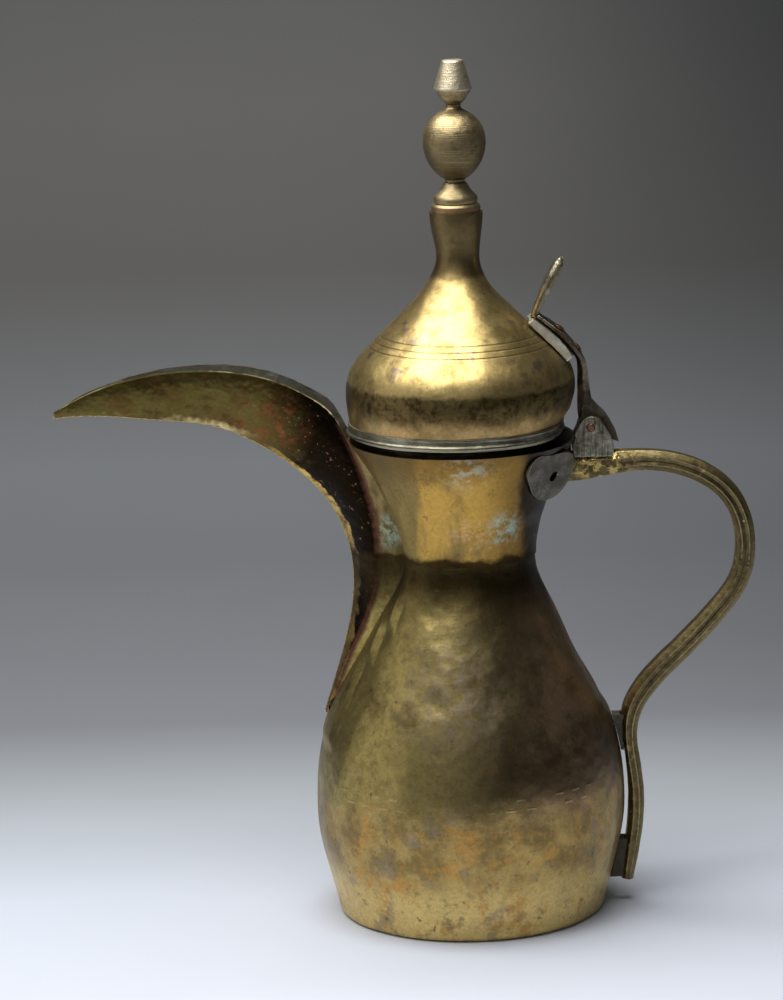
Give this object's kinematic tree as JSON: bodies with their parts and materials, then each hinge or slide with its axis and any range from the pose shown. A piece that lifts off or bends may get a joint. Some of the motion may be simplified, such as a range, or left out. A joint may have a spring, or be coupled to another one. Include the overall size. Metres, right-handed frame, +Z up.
{
  "type": "coffee pot",
  "caption": "Tall waisted coffee pot in beaten brass sheet with a long crescent beak spout, a looped cast handle and a hinged onion-dome lid with a ball finial.",
  "frame": {"origin": "centre of the flat base, on the surface that the pot stands on", "axes": "+Z up, +X towards the handle and -X towards the spout; the pot is symmetric across the XZ plane"},
  "size_m": [0.4136, 0.1856, 0.5095],
  "materials": {
    "aged_brass_body": "hammered sheet, olive-brown patina",
    "polished_brass_neck": "worn bright sheet with stains",
    "polished_brass_lid": "spun sheet, worn bright, engraved lines",
    "aged_brass_spout": "beaten sheet, olive-brown patina",
    "braze": "rough bright braze metal",
    "cast_brass_handle": "cast, filed, worn ridges",
    "tinned_brass": "tinned and filed, grey-green",
    "dark_filler": "dark solder filler",
    "finial_brass": "turned, satin",
    "copper": "hammered copper"
  },
  "bodies": {
    "pot": {"base_plate": "aged_brass_body", "lower_bowl": "aged_brass_body", "belly_shell": "aged_brass_body", "neck_shell": "polished_brass_neck", "spout_cheek_near": "aged_brass_spout", "spout_cheek_far": "aged_brass_spout", "spout_keel_seam": "braze", "handle": "cast_brass_handle", "handle_bracket": "tinned_brass", "handle_upper_pad": "dark_filler", "handle_foot_pad": "dark_filler", "hinge_ear_near": "tinned_brass", "hinge_ear_far": "tinned_brass", "hinge_pin": "copper"},
    "lid": {"lid_dome": "polished_brass_lid", "lid_rim_band": "tinned_brass", "lid_plug": "tinned_brass", "finial_ferrule": "finial_brass", "finial_foot": "finial_brass", "finial_ball": "finial_brass", "finial_tip": "finial_brass", "finial_spindle": "finial_brass", "lid_arm": "cast_brass_handle", "lid_arm_pad": "tinned_brass", "thumb_piece": "cast_brass_handle", "lid_arm_rivets": "copper"}
  },
  "joints": [
    {"name": "lid_hinge", "type": "hinge", "parent": "pot", "child": "lid", "pos_m": [0.0761, 0, 0.2917], "axis": [0, 1, 0], "range_deg": [0, 95]}
  ]
}
